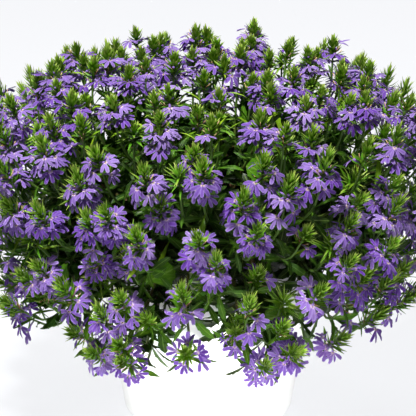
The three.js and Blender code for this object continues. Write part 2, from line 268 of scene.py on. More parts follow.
soil_bottom = POT_FLOOR + CLEARANCE
soil_edge = soil_radius(SOIL_EDGE_HEIGHT)
soil_top = [(radius, SOIL_EDGE_HEIGHT) for radius in np.linspace(soil_edge, 0, SOIL_RINGS)]
soil_profile = [(0, soil_bottom), (soil_radius(soil_bottom), soil_bottom), *soil_top]
soil_points, soil_faces = turned(soil_profile, SOIL_SIDES)
on_top = soil_points[:, 2] > (soil_bottom + SOIL_EDGE_HEIGHT) / 2
soil_points[on_top, 2] = soil_height(*soil_points[on_top, :2].T)

draw = np.random.default_rng(CHIP_SEED)
chip_radius = (soil_edge - 2 * CHIP_SIZE) * np.sqrt(draw.random(CHIPS))
chip_place = chip_radius[:, None] * outward(2 * math.pi * draw.random(CHIPS))
chip_place[:, 2] = soil_height(*chip_place[:, :2].T)
chip_points, chip_faces = turned([(0, -1), (1, 0), (0, 1)], 4)
chip_turn, _ = np.linalg.qr(draw.normal(size=(CHIPS, 3, 3)))
chip_turn = chip_turn * np.sign(np.linalg.det(chip_turn))[:, None, None]
chip_stretch = CHIP_SIZE * draw.uniform(*CHIP_SHARES, (CHIPS, 1, 3))
chips = (chip_points * chip_stretch) @ chip_turn + chip_place[:, None]
soil_faces += repeated(chip_faces, len(chip_points), CHIPS, len(soil_points))
soil_points = np.concatenate([soil_points, chips.reshape(-1, 3)])
new_piece("soil_and_bark", soil_points, soil_faces, soil_material(), "soil")


# Stems
# Twelve main stems stand in the soil, arch over the rim and branch into one shoot for each head.
# Heads stand in rows round a mound, three close together. Smaller ones and leafy shoots fill the
# gaps, and a few hang lower. Stems are fleshy, ribbed a little, and red-brown where they are old.
MOUND_RADIUS = 0.238
MOUND_MIDDLE = 0.245
MOUND_RISE = 0.128
MOUND_DROP = 0.160
MOUND_SQUARENESS = 3
MOUND_LOWEST_ANGLE = 128
OUTLINE_POINTS = 4001
ROWS = 7
FIRST_ROW = 0.036
ROW_SPACING = 0.066
HEAD_SPACING = 0.076
HEADS_PER_CLUSTER = 3
CLUSTER_DRAW = 0.78
ROW_STAGGER = 1.4
AZIMUTH_SCATTER = 0.08
ROW_SCATTER = 0.014
DEPTH_SCATTER = 0.014
SHOOT_LEAN = 0.42
LEAN_SCATTER = 0.3
GOLDEN_TURN = math.radians(137.5)
SCATTER_A = 0.7548777
SCATTER_B = 0.5698403
SCATTER_C = 0.6180340
SERIALS_PER_ROW = 31
GAP_SERIALS = 400
BETWEEN_SERIALS = 700
HANGING_SERIALS = 950
LEAFY_SERIALS = 1000
FILLER_SUNK = 0.004
BETWEEN_SPACING = 0.061
BETWEEN_STAGGER = 0.5
BETWEEN_AZIMUTH_SCATTER = 0.7
BETWEEN_ROW_SCATTER = 2.5 * ROW_SCATTER
BETWEEN_DEPTH_SCATTER = [0.018, 0.022, 0.034, 0.042, 0.040, 0.036]
LOWEST_FILLER = 0.148
FILLER_RAISE = 0.024
FILLER_TUCK = 0.016
LEAFY_SHOOTS = 46
LEAFY_RUNS = [(0, 0.110), (17, 0.250), (18, 0.262), (45, 0.388)]
LEAFY_SUNK = [(-0.5, 0.013), (0.5, 0.035)]
# Each hanging head's azimuth in degrees, distance from the pot's axis and height
HANGING_HEADS = [(240, 0.214, 0.124), (247, 0.202, 0.116), (285, 0.208, 0.118), (291, 0.219, 0.132)]
HANGING_HEADS += [(24, 0.212, 0.122), (83, 0.207, 0.114), (90, 0.216, 0.128), (152, 0.210, 0.120)]
HANGING_LEAN = math.radians(60)
STEM_COUNT = 12
STEM_RADII = (0.0034, 0.0020)
# Distance from the pot's axis and height of each bend of a main stem
STEM_BENDS = [(0.045, 0.170), (0.045, 0.198), (0.064, 0.236), (0.096, 0.258), (0.130, 0.262)]
STEM_STEPS = 17
STEM_SIDES = 10
STEM_AGE = 0.2
BRANCHES = (0.34, 0.97)
BRANCH_SWEEP = 0.6
SHOOT_SWING = 0.36
NODE_DEPTH = 0.022
SHOOT_TOP = 0.016
SHOOT_STEPS = 13
SHOOT_SIDES = 5
SHOOT_RADII = [(0, 0.0019), (SHOOT_STEPS, 0.0011), (SHOOT_STEPS + 3, 0.0007)]
STEM_PATCHES_PER_METRE = 45.0
STEM_RIBS_PER_METRE = 900.0
UP = np.array([0.0, 0.0, 1.0])


def graph(points, place):
    """Height at a place of a line through (place, height) points."""
    return np.interp(place, *np.array(points).T)


def scatter(index, step):
    """Even, repeatable scatter between -0.5 and 0.5: the fraction of index times step, less a half."""
    return np.mod(index * step, 1) - 0.5


def unit(vectors):
    """The vectors at length one."""
    return vectors / np.linalg.norm(vectors, axis=-1, keepdims=True)


def towards(first, second, angle):
    """The first vectors turned by an angle towards the second, which are square to them: first times
    the cosine plus second times the sine."""
    return first * np.cos(angle)[..., None] + second * np.sin(angle)[..., None]


def numbered(name, k):
    """A name with the number of the stem or cluster that has index k."""
    return f"{name}_{k + 1:02d}"


def on_outline(run, curve):
    """Values of a curve over the mound's outline at distances down it from the top."""
    return np.stack([np.interp(run, outline_run, curve[:, k]) for k in (0, 1)], axis=-1)


def collars_at(serial, azimuth, run, sunk):
    """Centres and axes of flower collars: on the mound's outline at a distance down it, pushed in or
    out along its normal, with the axis leaning out less than the normal does."""
    place = on_outline(run, outline)
    slope = unit(on_outline(run, outline_slope))
    push = DEPTH_SCATTER * scatter(serial, SCATTER_B) - sunk
    lean = SHOOT_LEAN * np.arctan2(-slope[:, 1], slope[:, 0]) + LEAN_SCATTER * scatter(serial, SCATTER_A)
    away = outward(azimuth)
    centre = away * (place[:, 0] - slope[:, 1] * push)[:, None]
    centre = centre + UP * (place[:, 1] + slope[:, 0] * push)[:, None]
    return centre, towards(UP, away, lean)


def row_girth(run):
    """Length round the mound at a distance down its outline."""
    return 2 * math.pi * float(np.interp(run, outline_run, outline[:, 0]))


def row_of_heads(row):
    """Serials, azimuths, distances down the outline and depths of one row's clustered heads, then
    the same for the single heads in the gaps between its clusters and below the row."""
    run = FIRST_ROW + row * ROW_SPACING
    count = HEADS_PER_CLUSTER * round(row_girth(run) / HEAD_SPACING / HEADS_PER_CLUSTER)
    i = np.arange(count)
    serial = SERIALS_PER_ROW * row + i + 1
    drawn = (1 - i % HEADS_PER_CLUSTER) * (1 - CLUSTER_DRAW) + AZIMUTH_SCATTER * scatter(serial, SCATTER_A)
    azimuth = 2 * math.pi * (i + ROW_STAGGER * row + drawn) / count
    full = np.stack([serial, azimuth, run + ROW_SCATTER * scatter(serial, SCATTER_C), 0 * i], axis=-1)
    i = np.arange(count // HEADS_PER_CLUSTER)
    serial = GAP_SERIALS + SERIALS_PER_ROW * row + i
    azimuth = 2 * math.pi * (HEADS_PER_CLUSTER * (i + 0.5) + 1 + ROW_STAGGER * row) / count
    gap_run = run + ROW_SCATTER * scatter(serial, SCATTER_C)
    single = np.stack([serial, azimuth, gap_run, 0 * i + FILLER_SUNK], axis=-1)
    if row == ROWS - 1:
        return full, single
    run = run + ROW_SPACING / 2
    i = np.arange(round(row_girth(run) / BETWEEN_SPACING))
    serial = BETWEEN_SERIALS + SERIALS_PER_ROW * row + i
    drawn = BETWEEN_STAGGER * row + BETWEEN_AZIMUTH_SCATTER * scatter(serial, SCATTER_B)
    azimuth = 2 * math.pi * (i + drawn) / len(i)
    between_run = run + BETWEEN_ROW_SCATTER * scatter(serial, SCATTER_A)
    sunk = FILLER_SUNK + BETWEEN_DEPTH_SCATTER[row] * scatter(serial, SCATTER_C)
    return full, np.concatenate([single, np.stack([serial, azimuth, between_run, sunk], axis=-1)])


def leafy_shoots():
    """The same four values of shoots that bear leaves alone. They follow each other round the mound
    by the golden angle, from its crown to its hem."""
    k = np.arange(LEAFY_SHOOTS)
    sunk = graph(LEAFY_SUNK, scatter(k + 1, SCATTER_B))
    return np.stack([LEAFY_SERIALS + k, GOLDEN_TURN * k, graph(LEAFY_RUNS, k), sunk], axis=-1)


outline_angle = np.radians(np.linspace(0, MOUND_LOWEST_ANGLE, OUTLINE_POINTS))
outline_reach = np.where(np.cos(outline_angle) > 0, MOUND_RISE, -MOUND_DROP)
outline_height = outline_reach * np.abs(np.cos(outline_angle)) ** (2 / MOUND_SQUARENESS)
outline_radius = MOUND_RADIUS * np.sin(outline_angle) ** (2 / MOUND_SQUARENESS)
outline = np.stack([outline_radius, MOUND_MIDDLE + outline_height], axis=-1)
outline_run = np.concatenate([[0], np.cumsum(np.linalg.norm(np.diff(outline, axis=0), axis=1))])
outline_slope = unit(np.gradient(outline, axis=0))

rows = [row_of_heads(row) for row in range(ROWS)]
clustered = np.concatenate([full for full, _ in rows])
filling = np.concatenate([single for _, single in rows])
too_low = collars_at(*filling.T)[0][:, 2] < LOWEST_FILLER
filling[too_low] += [0, 0, -FILLER_RAISE, FILLER_TUCK]
leafy = leafy_shoots()
hanging = np.array(HANGING_HEADS)
kind_counts = [len(clustered), len(filling), len(leafy), len(hanging)]
head_kind = np.repeat(["clustered", "filling", "leafy", "hanging"], kind_counts)
bare = head_kind == "leafy"
hangs = head_kind == "hanging"
HEADS = len(head_kind)

heads = np.concatenate([clustered, filling, leafy])
head_centre, head_axis = collars_at(*heads.T)
hanging_azimuth = np.radians(hanging[:, 0])
hanging_out = outward(hanging_azimuth)
head_centre = np.concatenate([head_centre, hanging_out * hanging[:, 1:2] + UP * hanging[:, 2:]])
head_axis = np.concatenate([head_axis, towards(UP, hanging_out, np.full(len(hanging), HANGING_LEAN))])
head_height = head_centre[:, 2]
head_serial = np.concatenate([heads[:, 0], HANGING_SERIALS + np.arange(len(hanging))])[:, None]
head_azimuth = np.mod(np.concatenate([heads[:, 1], hanging_azimuth]), 2 * math.pi)
head_run = np.concatenate([heads[:, 2], np.full(len(hanging), outline_run[-1])])
head_across = outward(head_azimuth + math.pi / 2)
head_stem = (head_azimuth / (2 * math.pi / STEM_COUNT)).astype(int) % STEM_COUNT

cluster_middle = head_centre[: len(clustered)].reshape(-1, HEADS_PER_CLUSTER, 3).mean(axis=1)
head_cluster = np.linalg.norm(head_centre[:, None] - cluster_middle, axis=-1).argmin(axis=1)
head_cluster[: len(clustered)] = np.arange(len(clustered)) // HEADS_PER_CLUSTER


def main_stems(bends):
    """Paths of the main stems through bends, each a distance from the pot's axis and a height."""
    azimuth = 2 * math.pi / STEM_COUNT * (np.arange(STEM_COUNT) + 0.5)
    return outward(azimuth)[:, None] * bends[:, :1] + UP * bends[:, 1:]


def shoot_paths():
    """For each head, points along its shoot from the main stem to the top of its tuft: a cubic curve
    from the branching point to the node under the collar, then straight on along the collar's axis."""
    share = np.zeros(HEADS)
    for stem in range(STEM_COUNT):
        own = np.flatnonzero(head_stem == stem)
        single = own[own >= len(clustered)]
        single = single[np.argsort(head_run[single], kind="stable")]
        for group in (own[own < len(clustered)], single):
            share[group] = np.linspace(*BRANCHES, len(group))
    bend_points = main_stems(np.array(STEM_BENDS))
    place = share * (len(STEM_BENDS) - 1)
    link = place.astype(int)
    first = bend_points[head_stem, link]
    second = bend_points[head_stem, link + 1]
    start = first + (second - first) * (place - link)[:, None]
    run = unit(second - first)
    away = head_centre - start
    away = unit(away - run * (away * run).sum(axis=1, keepdims=True))
    leaving = unit(away + BRANCH_SWEEP * run)
    node = head_centre - NODE_DEPTH * head_axis
    span = np.linalg.norm(node - start, axis=1, keepdims=True)
    handles = [start + SHOOT_SWING * span * leaving, node - SHOOT_SWING * span * head_axis]
    t = np.linspace(0, 1, SHOOT_STEPS)[None, :, None]
    weights = [(1 - t) ** 3, 3 * t * (1 - t) ** 2, 3 * t**2 * (1 - t), t**3]
    curve = sum(weight * corner[:, None] for weight, corner in zip(weights, (start, *handles, node)))
    beyond = np.array([NODE_DEPTH / 2, NODE_DEPTH, NODE_DEPTH + SHOOT_TOP / 2, NODE_DEPTH + SHOOT_TOP])
    return np.concatenate([curve, node[:, None] + beyond[:, None] * head_axis[:, None]], axis=1)


def tubes(paths, radii, sides):
    """Points, faces and shares along of tubes that follow paths: each ring stands square to its path,
    and the path's ends are the poles. Rings are measured from the direction that a path follows
    least, the eigenvector of least value of the sum of its directions' squares."""
    paths = paths.reshape(-1, *paths.shape[-2:])
    count, length, _ = paths.shape
    run = unit(np.gradient(paths, axis=1))
    reference = np.linalg.eigh(np.einsum("cki,ckj->cij", run, run))[1][:, :, 0]
    across = unit(np.cross(run, reference[:, None]))
    angle = np.linspace(0, 2 * math.pi, sides, endpoint=False)
    square = towards(across[:, :, None], np.cross(run, across)[:, :, None], angle)
    rings = paths[:, :, None] + np.array(radii)[:, None, None] * square
    points = np.concatenate([rings.reshape(count, -1, 3), paths[:, :1], paths[:, -1:]], axis=1)
    along = np.concatenate([np.repeat(np.linspace(0, 1, length), sides), [0, 1]])
    faces = repeated(ring_faces(length, sides), points.shape[1], count)
    return points.reshape(-1, 3), faces, np.tile(along, count)


def set_values(mesh, name, domain, values):
    """Stores one number for each point or face of a mesh, for its material to read."""
    mesh.attributes.new(name, "FLOAT", domain).data.foreach_set("value", values.astype(np.float32))


def tube_piece(name, parts, material, replaced):
    """One piece of several sets of tubes, whose points keep their shares along."""
    starts = np.cumsum([0] + [len(points) for points, _, _ in parts])
    faces = [one + start for (_, sets, _), start in zip(parts, starts) for one in sets]
    piece = new_piece(name, np.concatenate([part[0] for part in parts]), faces, material, replaced)
    set_values(piece.data, "along", "POINT", np.concatenate([part[2] for part in parts]))


def plant_shader(add, colour, roughness, shine, glow, share, bump=None):
    """Ends a material in a Principled shader mixed with a share of light from behind the blade."""
    inputs = {"Base Color": colour, "Roughness": roughness, "Specular IOR Level": shine}
    if bump is not None:
        inputs["Normal"] = bump
    skin = add("BsdfPrincipled", inputs)
    through = add("BsdfTranslucent", {"Color": glow})
    mixed = add("MixShader", {0: share, 1: skin, 2: through})
    add("OutputMaterial", {"Surface": mixed})


def stem_material():
    """Living stem: green and finely hairy at its tip, and flushed red-brown towards its root."""
    material, add = new_material("living green stem")
    place = add("TexCoord").outputs["Object"]
    patches = add("TexNoise", {"Vector": place, "Scale": STEM_PATCHES_PER_METRE, "Detail": 4.0})
    along = add("Attribute", attribute_name="along").outputs["Fac"]
    youth = add("Math", {0: patches, 1: 0.9, 2: along}, operation="MULTIPLY_ADD")
    colour = add("ValToRGB", {"Fac": youth}, [(0.35, "#4c2c20"), (0.75, "#554a20"), (1.0, "#4a6a20")])
    ribs = add("TexNoise", {"Vector": place, "Scale": STEM_RIBS_PER_METRE, "Detail": 2.0})
    bump = add("Bump", {"Height": ribs, "Strength": 0.4, "Distance": 0.0003})
    skin = add("BsdfPrincipled", {"Base Color": colour, "Roughness": 0.5, "Normal": bump})
    add("OutputMaterial", {"Surface": skin})
    return material


shoot_path = shoot_paths()
shoot_radii = graph(SHOOT_RADII, np.arange(shoot_path.shape[1]))
stem_share = np.linspace(0, len(STEM_BENDS) - 1, STEM_STEPS)
fine_bends = [np.interp(stem_share, np.arange(len(STEM_BENDS)), values) for values in zip(*STEM_BENDS)]
stem_path = main_stems(np.stack(fine_bends, axis=-1))
stem_skin = stem_material()
for stem in range(STEM_COUNT):
    points, faces, along = tubes(stem_path[stem], np.linspace(*STEM_RADII, STEM_STEPS), STEM_SIDES)
    shoots = tubes(shoot_path[head_stem == stem], shoot_radii, SHOOT_SIDES)
    parts = [(points, faces, STEM_AGE * along), shoots]
    tube_piece(numbered("stems", stem), parts, stem_skin, numbered("leafy_stem", stem))


# Leaves
# Each leaf is one blade: a narrow foot, widest past the middle, with two coarse teeth a side. It is folded
# up along its midrib and arches over. Leaves stand on the shoots in a spiral, the youngest nearest the tip,
# and four broad ones face out. Older leaves, deeper under the tufts, are darker, partly from their own
# older green and partly from painted shade. Leaves at the hem and on leafy shoots carry more painted shade,
# and leaves high in the crown are painted lighter as painted light.
LEAVES_PER_SHOOT = 18
LEAF_SEED = 5
LEAF_LENGTH = 0.034
LEAF_HALF_WIDTH = 0.0060
LEAF_THICKNESS = 0.0006
LEAF_SPACING = 0.0072
FIRST_LEAF = 0.004
LEAF_SHIFTS = (-0.3, 0.3)
FIRST_LEAF_BY_HEIGHT = [(0.18, 0.002), (0.22, 0.008), (0.31, 0.008), (0.345, 0.0)]
LEAF_TURN = 2.1
LEAF_TURN_SCATTER = 0.2
REFERENCE_TILT = 0.2
LEAF_ANGLES = [(0, 34), (8, 52), (20, 60)]
LEAF_ANGLE_SHIFTS = (-16, 16)
LEAF_SIZES = [(0, 0.66), (3, 0.8), (7, 1.0), (20, 1.15)]
LEAF_SIZE_SHARES = (0.8, 1.15)
LEAF_WIDTHS = [(0, 0.3), (4, 0.42), (10, 0.9), (20, 1.15)]
LEAF_WIDTH_SHARES = (0.7, 1.2)
# By order down the shoot: older leaves are darker, partly from their own age and partly from painted shade
# deep in the mound.
LEAF_TINTS_AND_PAINTED_SHADE = [(0, 0.84), (5, 0.5), (12, 0.04), (20, 0.0)]
LEAF_TINT_SCATTER = 0.14
LEAF_BENDS = (0.2, 1.1)
LEAF_FOLDS = (0.15, 0.5)
LEAF_TWIST_SCATTER = 0.35
# Painted light: leaves on heads high in the crown are painted lighter.
CROWN_PAINTED_LIGHT = [(0.315, 0.0), (0.36, 0.25)]
HEM_LOOSENESS = [(0.17, 0.8), (0.27, 0.0)]
BARE_LOOSENESS = 0.5
LOOSE_GROWTH = 0.08
LOOSE_STRAIGHTNESS = 0.5
LOOSE_WIDTHS = (0.9, 0.55)
# Painted shade: leaves at the hem and on leafy shoots are painted darker.
LOOSE_PAINTED_SHADE = 0.1
LEAF_RUFFLE = 0.06
WAVES_ALONG = 14
WAVES_ACROSS = 9
WAVES_BEND = 40
YOUNG_LEAVES = 5
LOWEST_LEAF_TIP = 0.118
LOWEST_HANGING_TIP = 0.098
HEM_HEIGHT = 0.14
STEM_END = 0.004
PROBE = 0.001
NO_LENGTH = 1e-6
# Azimuth in degrees, distance from the pot's axis, height and turn in degrees of each broad leaf
BROAD_LEAVES = [(284.5, 0.200, 0.318, 70), (255, 0.215, 0.19, -60)]
BROAD_LEAVES += [(300, 0.215, 0.175, 100), (232, 0.22, 0.20, 60)]
BROAD_LEAF = {"length": LEAF_LENGTH, "width": 2.3 * LEAF_HALF_WIDTH, "tint": 0.7}
BROAD_LEAF |= {"bend": -0.5, "fold": 0.1, "twist": 0.0}
BROAD_TILT = math.asin(0.28)
YOUNG_LEAF_OUTLINE = [(0.0, 0.0, 0.3), (0.35, 0.35, 0.75), (0.68, 0.68, 1.0), (0.985, 1.0, 0.1)]
LEAF_OUTLINE = [
    (0.0, 0.0, 0.16),
    (0.25, 0.25, 0.3),
    (0.53, 0.5, 0.9),
    (0.57, 0.56, 0.74),
    (0.71, 0.69, 1.0),
    (0.75, 0.74, 0.76),
    (0.87, 0.86, 0.66),
    (0.985, 1.0, 0.1),
]
LEAF_VEIN_SLANT = -0.9
LEAF_VEIN_WAVES = 44.0
# The near-black low end of these greens is painted shade.
LEAF_GREENS_TO_PAINTED_SHADE = [(0.0, "#081802"), (0.35, "#153804"), (0.75, "#43720c"), (1.0, "#88aa1e")]


def blade_pattern(stations):
    """A flat blade's pattern: shares along and across, the side of the sheet, and faces. A station
    is (share along at the edges, share along at the midrib, half width). Above and below the midrib
    lie two points, so the blade is a closed lens that thins to its edges."""
    edge, middle, width = np.array(stations).T
    count = len(stations)
    flat = 0 * edge
    along = np.concatenate([edge, edge, middle, middle[1:-1]])
    across = np.concatenate([-width, width, flat, flat[1:-1]])
    u = np.concatenate([flat, flat + 1, flat + 0.5, flat[1:-1] + 0.5])
    side = np.concatenate([flat, flat, flat, flat[1:-1] - 1])
    side[2 * count + 1 : 3 * count - 1] = 1
    left, right, top = np.arange(3 * count).reshape(3, count)
    bottom = np.concatenate([top[:1], np.arange(3 * count, 4 * count - 2), top[-1:]])
    upper = [(a[:-1], b[:-1], b[1:], a[1:]) for a, b in ((left, top), (top, right))]
    lower = [(b[:-1], a[:-1], a[1:], b[1:]) for a, b in ((left, bottom), (bottom, right))]
    faces = np.concatenate([np.stack(corners, axis=-1) for corners in (*upper, *lower)])
    under = np.repeat([0.0, 1.0], len(faces) // 2)
    return {"along": along, "across": across, "u": u, "side": side, "faces": faces, "under": under}


def blade_points(pattern, thickness, ruffle, root, forward, normal, length, width, bend, fold, twist):
    """Points of blades with a pattern. The midrib is a circular arc that starts along forward and
    turns towards the normal by bend. The edges are raised by fold times their distance from the
    midrib, turned round it by twist at the tip, and waved by ruffle times a sine."""
    along, across = pattern["along"], pattern["across"]
    forward, normal = forward[:, None], normal[:, None]
    length, width, bend, fold, twist = (value[:, None] for value in (length, width, bend, fold, twist))
    half_turn = bend * along / 2
    reach = length * along * np.sinc(half_turn / math.pi)
    middle = root[:, None] + reach[..., None] * towards(forward, normal, half_turn)
    upper = towards(normal, -forward, bend * along)
    level = np.cross(forward, normal)
    sideways = towards(level, upper, twist * along)
    upward = towards(upper, -level, twist * along)
    lift = fold * np.abs(across) * width + pattern["side"] * thickness / 2
    wave = np.sin(WAVES_ALONG * along + WAVES_ACROSS * across + WAVES_BEND * bend)
    lift = lift + ruffle * width * np.abs(across) * wave
    return (middle + sideways * (across * width)[..., None] + upward * lift[..., None]).reshape(-1, 3)


def blade_piece(name, groups, thickness, ruffle, material, replaced):
    """One piece of many blades. A group is a pattern, the blades' values and a mask of those that
    belong to the piece. Every blade has the UV map u across and v along, its tint, a mark on the
    faces of its underside, and sharp edges round its rim."""
    points, faces, columns, under = [], [], [], []
    start = 0
    for pattern, blades, mask in groups:
        own = np.broadcast_to(mask, blades["tint"].shape)
        values = {key: value[own] for key, value in blades.items()}
        tint = values.pop("tint")
        size = len(pattern["along"])
        points.append(blade_points(pattern, thickness, ruffle, **values))
        faces += repeated([pattern["faces"]], size, len(tint), start)
        flat = np.stack([pattern["u"], pattern["along"], pattern["side"] == 0], axis=-1)
        columns.append(np.column_stack([np.tile(flat, (len(tint), 1)), np.repeat(tint, size)]))
        under.append(np.tile(pattern["under"], len(tint)))
        start += size * len(tint)
    u, v, rim, tint = np.concatenate(columns).T
    mesh = new_piece(name, np.concatenate(points), faces, material, replaced).data
    corner = np.zeros(len(mesh.loops), np.int32)
    mesh.loops.foreach_get("vertex_index", corner)
    flat = np.stack([u, v], axis=-1)[corner].astype(np.float32)
    mesh.uv_layers.new(name="blade").data.foreach_set("uv", flat.ravel())
    set_values(mesh, "tint", "POINT", tint)
    set_values(mesh, "under", "FACE", np.concatenate(under))
    ends = np.zeros(2 * len(mesh.edges), np.int32)
    mesh.edges.foreach_get("vertices", ends)
    mesh.edges.foreach_set("use_edge_sharp", (rim[ends].reshape(-1, 2) == 1).all(axis=1))


def blade_sockets(add):
    """A blade's flat map, its distance from the midrib, 0 to 0.5, its share along, and its tint."""
    flat = add("UVMap", uv_map="blade")
    axes = add("SeparateXYZ", {"Vector": flat})
    off_middle = add("Math", {0: axes.outputs["X"], 1: 0.5}, operation="SUBTRACT")
    off_middle = add("Math", {0: off_middle}, operation="ABSOLUTE")
    tint = add("Attribute", attribute_name="tint").outputs["Fac"]
    return flat, off_middle, axes.outputs["Y"], tint


def leaf_material():
    """Leaf: a waxy green skin with a pale midrib and side veins, grey-green and duller beneath, that lets
    yellow-green light through. Its green runs down to near black, which is painted shade for leaves deep in
    the mound."""
    material, add = new_material("waxy green leaf")
    _, off_middle, along, tint = blade_sockets(add)
    under = add("Attribute", attribute_name="under").outputs["Fac"]
    # The tint picks the green: its dark end is painted shade on deep leaves, and its light end is partly
    # painted light in the crown.
    green = add("ValToRGB", {"Fac": tint}, LEAF_GREENS_TO_PAINTED_SHADE)
    near_middle = {"Value": off_middle, "From Min": 0.02, "From Max": 0.07, "To Min": 0.55, "To Max": 0.0}
    midrib = add("MapRange", near_middle)
    slant = add("Math", {0: off_middle, 1: LEAF_VEIN_SLANT, 2: along}, operation="MULTIPLY_ADD")
    waves = add("Math", {0: slant, 1: LEAF_VEIN_WAVES}, operation="MULTIPLY")
    waves = add("Math", {0: waves}, operation="SINE")
    crests = {"Value": waves, "From Min": 0.75, "From Max": 1.0, "To Min": 0.0, "To Max": 0.3}
    veins = add("MapRange", crests)
    lines = add("Math", {0: midrib, 1: veins}, operation="MAXIMUM")
    veined = add("Mix", {"Factor": lines, 6: green, 7: "#7f9c44"}, data_type="RGBA")
    dull = add("Math", {0: under, 1: 0.55}, operation="MULTIPLY")
    sided = add("Mix", {"Factor": dull, 6: veined, 7: "#2f5a16"}, data_type="RGBA")
    gloss = add("MapRange", {"Value": under, "To Min": 0.34, "To Max": 0.75})
    bump = add("Bump", {"Height": lines, "Strength": 0.35, "Distance": 0.0004}, invert=True)
    plant_shader(add, sided, gloss, shine=0.12, glow="#759a12", share=0.18, bump=bump)
    return material


def along_shoots(depth):
    """Points and directions on every shoot at distances below its collar, and whether the shoot is
    long enough to reach there. depth is one row for each shoot."""
    path = shoot_path[:, SHOOT_STEPS + 1 :: -1]
    steps = np.linalg.norm(np.diff(path, axis=1), axis=-1)
    run = np.concatenate([np.zeros((HEADS, 1)), np.cumsum(steps, axis=1)], axis=1)

    def points_at(distances):
        shoots = zip(distances, run, path)
        found = [[np.interp(own, way, values) for values in points.T] for own, way, points in shoots]
        return np.stack(found).transpose(0, 2, 1)

    places = points_at(depth)
    direction = points_at(depth - PROBE) - places
    moved = np.linalg.norm(direction, axis=-1, keepdims=True) > NO_LENGTH
    return places, unit(np.where(moved, direction, head_axis[:, None])), depth < run[:, -1:] - STEM_END


def round_stem(direction, reference, turn):
    """Unit vectors square to stems at turns round them, counted from a reference direction."""
    first = unit(reference - direction * (reference * direction).sum(axis=-1, keepdims=True))
    return towards(first, np.cross(direction, first), turn)


draw = np.random.default_rng(LEAF_SEED)
leaf_order = np.arange(LEAVES_PER_SHOOT)
shape = (HEADS, LEAVES_PER_SHOOT)
leaf_depth = FIRST_LEAF + LEAF_SPACING * (leaf_order + draw.uniform(*LEAF_SHIFTS, shape))
leaf_depth = leaf_depth + graph(FIRST_LEAF_BY_HEIGHT, head_height)[:, None]
leaf_place, leaf_stem_way, leaf_kept = along_shoots(leaf_depth)
leaf_turn = GOLDEN_TURN * leaf_order + LEAF_TURN * head_serial + draw.normal(0, LEAF_TURN_SCATTER, shape)
leaf_reference = head_across + REFERENCE_TILT * np.cross(head_axis, head_across)
leaf_out = round_stem(leaf_stem_way, leaf_reference[:, None], leaf_turn)
leaf_angle = np.radians(graph(LEAF_ANGLES, leaf_order) + draw.uniform(*LEAF_ANGLE_SHIFTS, shape))
leaf_forward = towards(leaf_stem_way, leaf_out, leaf_angle)
leaf_normal = towards(-leaf_out, leaf_stem_way, leaf_angle)
leaf_size = graph(LEAF_SIZES, leaf_order) * draw.uniform(*LEAF_SIZE_SHARES, shape)
leaf_fold = draw.uniform(*LEAF_FOLDS, shape)
leaf_twist = draw.normal(0, LEAF_TWIST_SCATTER, shape)
loose = graph(HEM_LOOSENESS, head_height)[:, None] + BARE_LOOSENESS * bare[:, None]
leaf_size = leaf_size * (1 + LOOSE_GROWTH * loose)
leaf_bend = -draw.uniform(*LEAF_BENDS, shape) * (1 - LOOSE_STRAIGHTNESS * loose)
leaf_slim = graph(LEAF_WIDTHS, leaf_order) * (LOOSE_WIDTHS[0] + LOOSE_WIDTHS[1] * loose)
leaf_slim = leaf_slim * draw.uniform(*LEAF_WIDTH_SHARES, shape)
# Leaf tints hold painted light: painted shade on older, deeper leaves and on leaves at the hem and on leafy
# shoots, and painted light on crown leaves, with random scatter on top.
leaf_tint_and_painted_light = graph(LEAF_TINTS_AND_PAINTED_SHADE, leaf_order) - LOOSE_PAINTED_SHADE * loose
leaf_tint_and_painted_light = leaf_tint_and_painted_light + graph(CROWN_PAINTED_LIGHT, head_height)[:, None]
leaf_tint_and_painted_light = np.clip(leaf_tint_and_painted_light + draw.normal(0, LEAF_TINT_SCATTER, shape), 0, 1)
leaf_tip = towards(leaf_forward, leaf_normal, leaf_bend / 2)
leaf_tip = leaf_place + (LEAF_LENGTH * leaf_size)[..., None] * leaf_tip
lowest_tip = np.where(hangs | (head_height < HEM_HEIGHT), LOWEST_HANGING_TIP, LOWEST_LEAF_TIP)
leaf_kept = leaf_kept & (leaf_tip[..., 2] > lowest_tip[:, None])
young = np.broadcast_to(leaf_order < YOUNG_LEAVES, shape)
leaves = {
    "root": leaf_place,
    "forward": leaf_forward,
    "normal": leaf_normal,
    "length": LEAF_LENGTH * leaf_size,
    "width": LEAF_HALF_WIDTH * leaf_slim * leaf_size,
    "bend": leaf_bend,
    "fold": leaf_fold,
    "twist": leaf_twist,
    "tint": leaf_tint_and_painted_light,
}
for azimuth, radius, height, turn in BROAD_LEAVES:
    way = outward(math.radians(azimuth))
    distance = np.linalg.norm(leaf_place - radius * way - height * UP, axis=-1)
    nearest = np.unravel_index(np.where(leaf_kept & ~young, distance, np.inf).argmin(), shape)
    leaf_normal[nearest] = towards(way, UP, BROAD_TILT)
    leaf_forward[nearest] = round_stem(leaf_normal[nearest], UP, np.radians(turn))
    for key, value in BROAD_LEAF.items():
        leaves[key][nearest] = value
young_pattern, leaf_pattern = blade_pattern(YOUNG_LEAF_OUTLINE), blade_pattern(LEAF_OUTLINE)
leaf_skin = leaf_material()
for stem in range(STEM_COUNT):
    own = leaf_kept & (head_stem == stem)[:, None]
    groups = [(young_pattern, leaves, own & young), (leaf_pattern, leaves, own & ~young)]
    name, replaced = numbered("leaves", stem), numbered("leafy_stem", stem)
    blade_piece(name, groups, LEAF_THICKNESS, LEAF_RUFFLE, leaf_skin, replaced)


